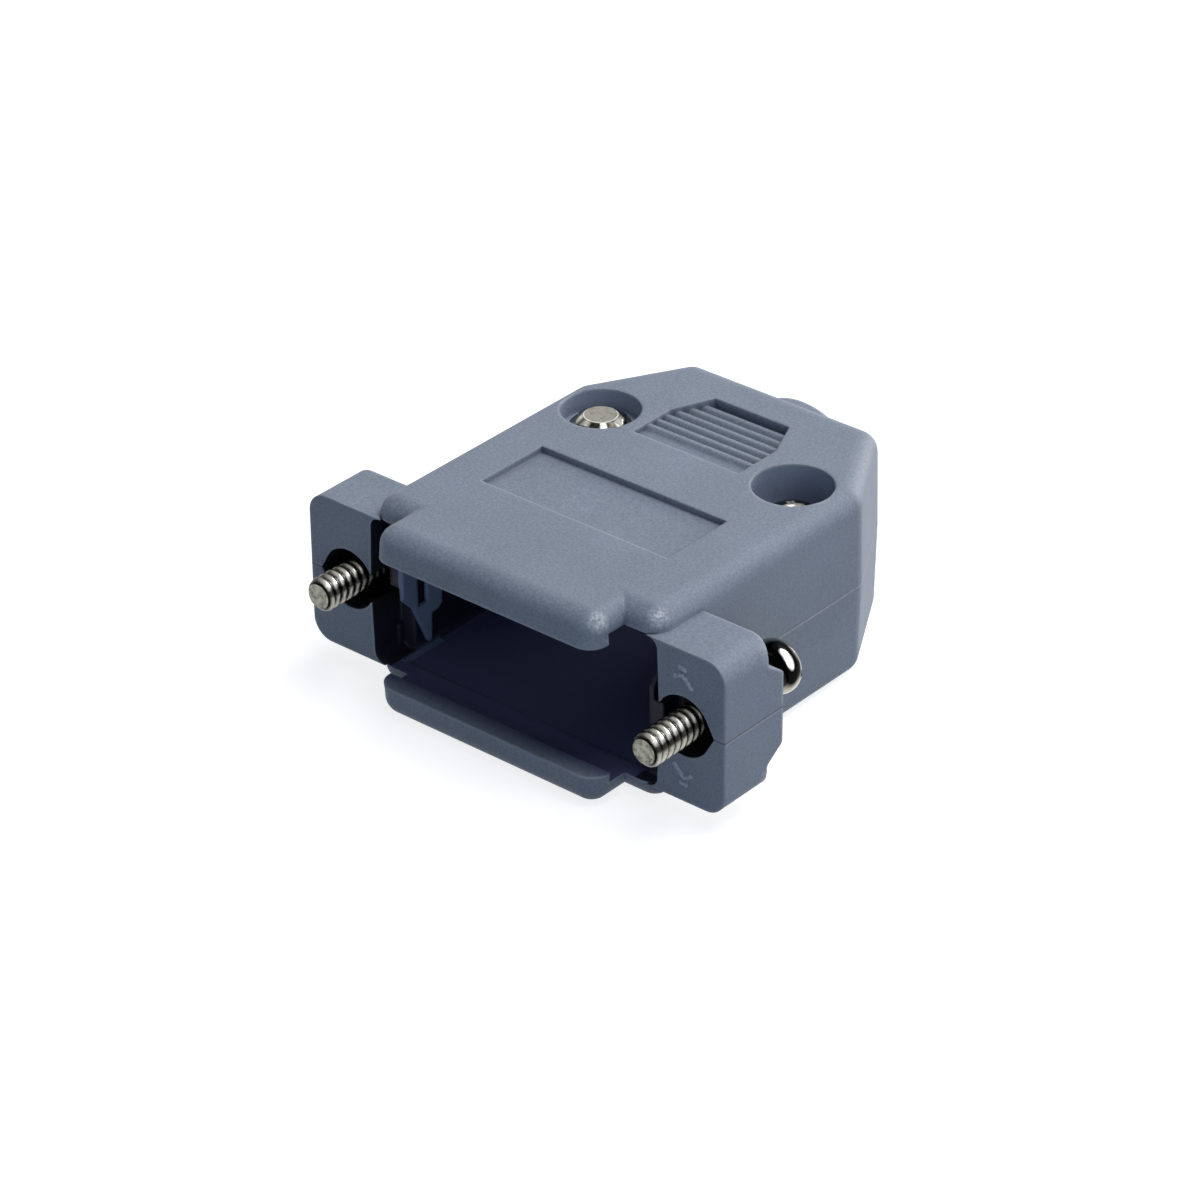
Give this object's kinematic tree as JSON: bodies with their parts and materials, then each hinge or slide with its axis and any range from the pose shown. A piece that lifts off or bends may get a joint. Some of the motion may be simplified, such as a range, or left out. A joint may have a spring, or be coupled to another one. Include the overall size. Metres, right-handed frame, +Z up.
{
  "type": "d-sub hood",
  "caption": "Two-piece moulded plastic hood for a D-sub connector, with captive jackscrews, closing screws and nuts, an inner cable clamp and a round cable outlet.",
  "frame": {"origin": "midway between the two jackscrews, in the plane of the ears' front faces, on the parting plane of the two shells", "axes": "+X from ear to ear, +Y from the mating side towards the cable outlet, +Z up through the upper shell"},
  "size_m": [0.0412, 0.0399, 0.0164],
  "materials": {
    "housing": "fine moulded texture",
    "jackscrew_steel": "nickel plated",
    "screw_steel": "nickel plated",
    "nut_steel": "nickel plated",
    "clamp_steel": "zinc plated sheet"
  },
  "bodies": {
    "hood": {"upper_shell": "housing", "lower_shell": "housing", "closing_screw_left": "screw_steel", "closing_screw_right": "screw_steel", "clamp_screw_left": "screw_steel", "clamp_screw_right": "screw_steel", "closing_nut_left": "nut_steel", "closing_nut_right": "nut_steel", "clamp_nut_left": "nut_steel", "clamp_nut_right": "nut_steel", "cable_clamp_upper": "clamp_steel", "cable_clamp_lower": "clamp_steel"},
    "left_jackscrew": {"jackscrew_left": "jackscrew_steel"},
    "right_jackscrew": {"jackscrew_right": "jackscrew_steel"}
  },
  "joints": [
    {"name": "left_jackscrew_turn", "type": "hinge", "parent": "hood", "child": "left_jackscrew", "pos_m": [-0.01666, 0.0059, 0], "axis": [0, 1, 0], "continuous": true},
    {"name": "right_jackscrew_turn", "type": "hinge", "parent": "hood", "child": "right_jackscrew", "pos_m": [0.01666, 0.0059, 0], "axis": [0, 1, 0], "continuous": true}
  ]
}
